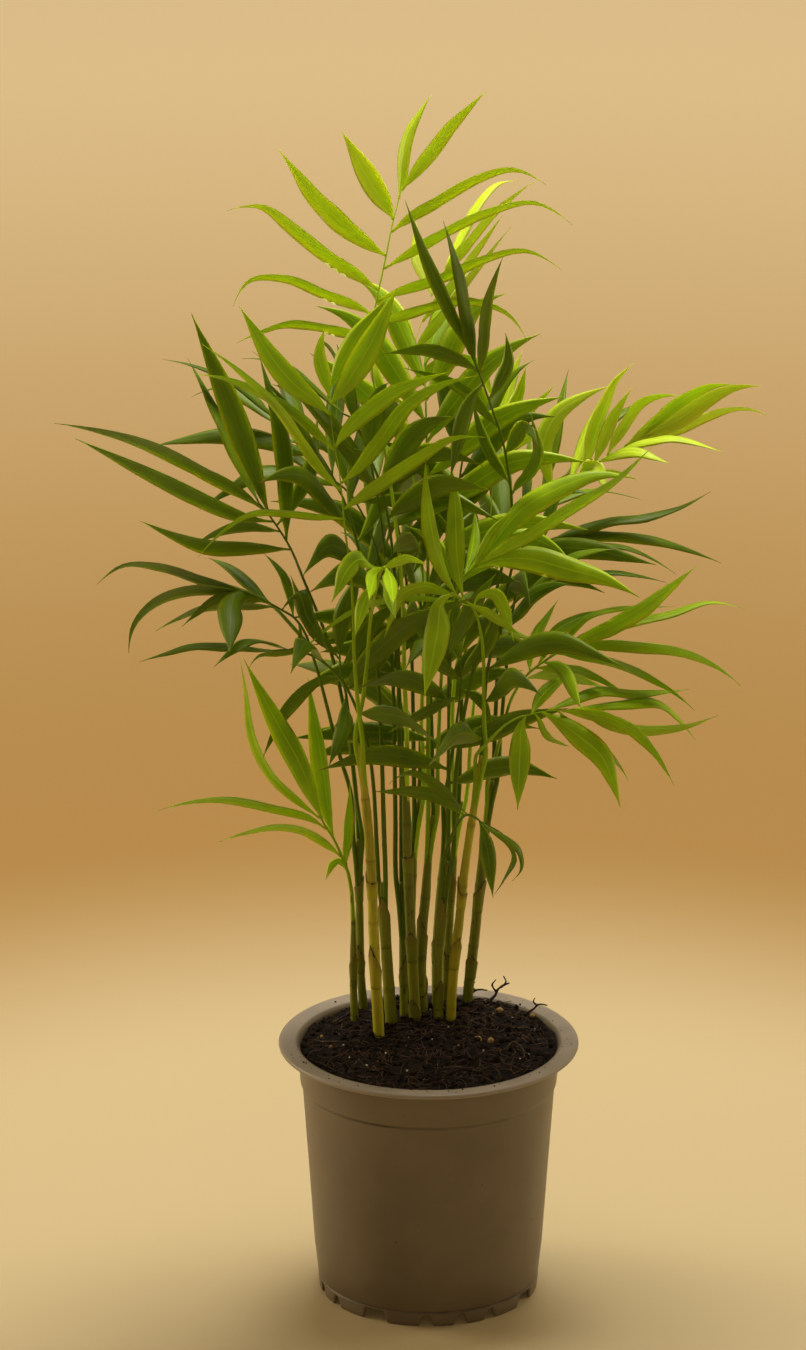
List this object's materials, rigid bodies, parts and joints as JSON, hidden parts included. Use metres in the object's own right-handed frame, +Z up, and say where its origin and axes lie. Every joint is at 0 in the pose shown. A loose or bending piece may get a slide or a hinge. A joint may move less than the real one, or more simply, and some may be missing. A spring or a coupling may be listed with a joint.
{
  "type": "potted palm",
  "caption": "Young parlour palm with slender canes and arching feather-shaped fronds, standing in a small round plastic nursery pot filled with dark potting soil",
  "frame": {"origin": "centre of the pot's foot, on the surface that the pot stands on", "axes": "+Z up, along the pot's axis and the canes; the front of the plant faces -Y; +X is to the right seen from the front"},
  "size_m": [0.2769, 0.2312, 0.486],
  "materials": {
    "pot_plastic": "satin moulded polypropylene, taupe grey",
    "potting_soil": "dark peat with perlite, rough",
    "yellow_cane": "smooth yellow-green sheath",
    "green_cane": "smooth olive-green sheath",
    "young_leaf": "satin, thin and translucent",
    "bright_leaf": "satin, veined",
    "dark_leaf": "satin, veined"
  },
  "bodies": {
    "root": {"pot": "pot_plastic", "soil": "potting_soil", "cane_left_edge": "green_cane", "cane_left_back": "green_cane", "cane_front": "yellow_cane", "cane_left": "green_cane", "cane_middle_left": "green_cane", "cane_tall": "green_cane", "cane_middle": "green_cane", "cane_low": "green_cane", "cane_yellow": "yellow_cane", "cane_right": "green_cane", "cane_inner": "green_cane", "cane_back": "green_cane", "cane_back_right": "green_cane", "frond_top": "young_leaf", "frond_pale": "young_leaf", "frond_right_light": "young_leaf", "frond_right_back": "young_leaf", "frond_front_bright": "bright_leaf", "frond_front_left": "bright_leaf", "frond_right_bright": "bright_leaf", "frond_centre_front": "bright_leaf", "frond_left_low": "bright_leaf", "frond_right_lower": "bright_leaf", "frond_right_droop": "bright_leaf", "frond_back_high": "bright_leaf", "frond_upper_dark": "dark_leaf", "frond_left_inner": "dark_leaf", "frond_left_droop": "dark_leaf", "frond_left_dark": "dark_leaf", "frond_right_mid": "dark_leaf", "frond_low_centre": "dark_leaf", "frond_inner": "dark_leaf", "frond_back_left": "dark_leaf", "frond_back_low_left": "dark_leaf", "frond_side_left": "dark_leaf", "frond_inner_left": "dark_leaf", "frond_back_middle": "dark_leaf", "frond_back_low": "dark_leaf", "frond_back_right": "dark_leaf", "frond_side_right": "dark_leaf", "frond_centre_high": "dark_leaf", "frond_middle_high": "dark_leaf", "frond_middle_left": "dark_leaf", "frond_middle_low": "dark_leaf", "frond_middle_right": "dark_leaf", "frond_middle_back": "dark_leaf"}
  },
  "joints": []
}
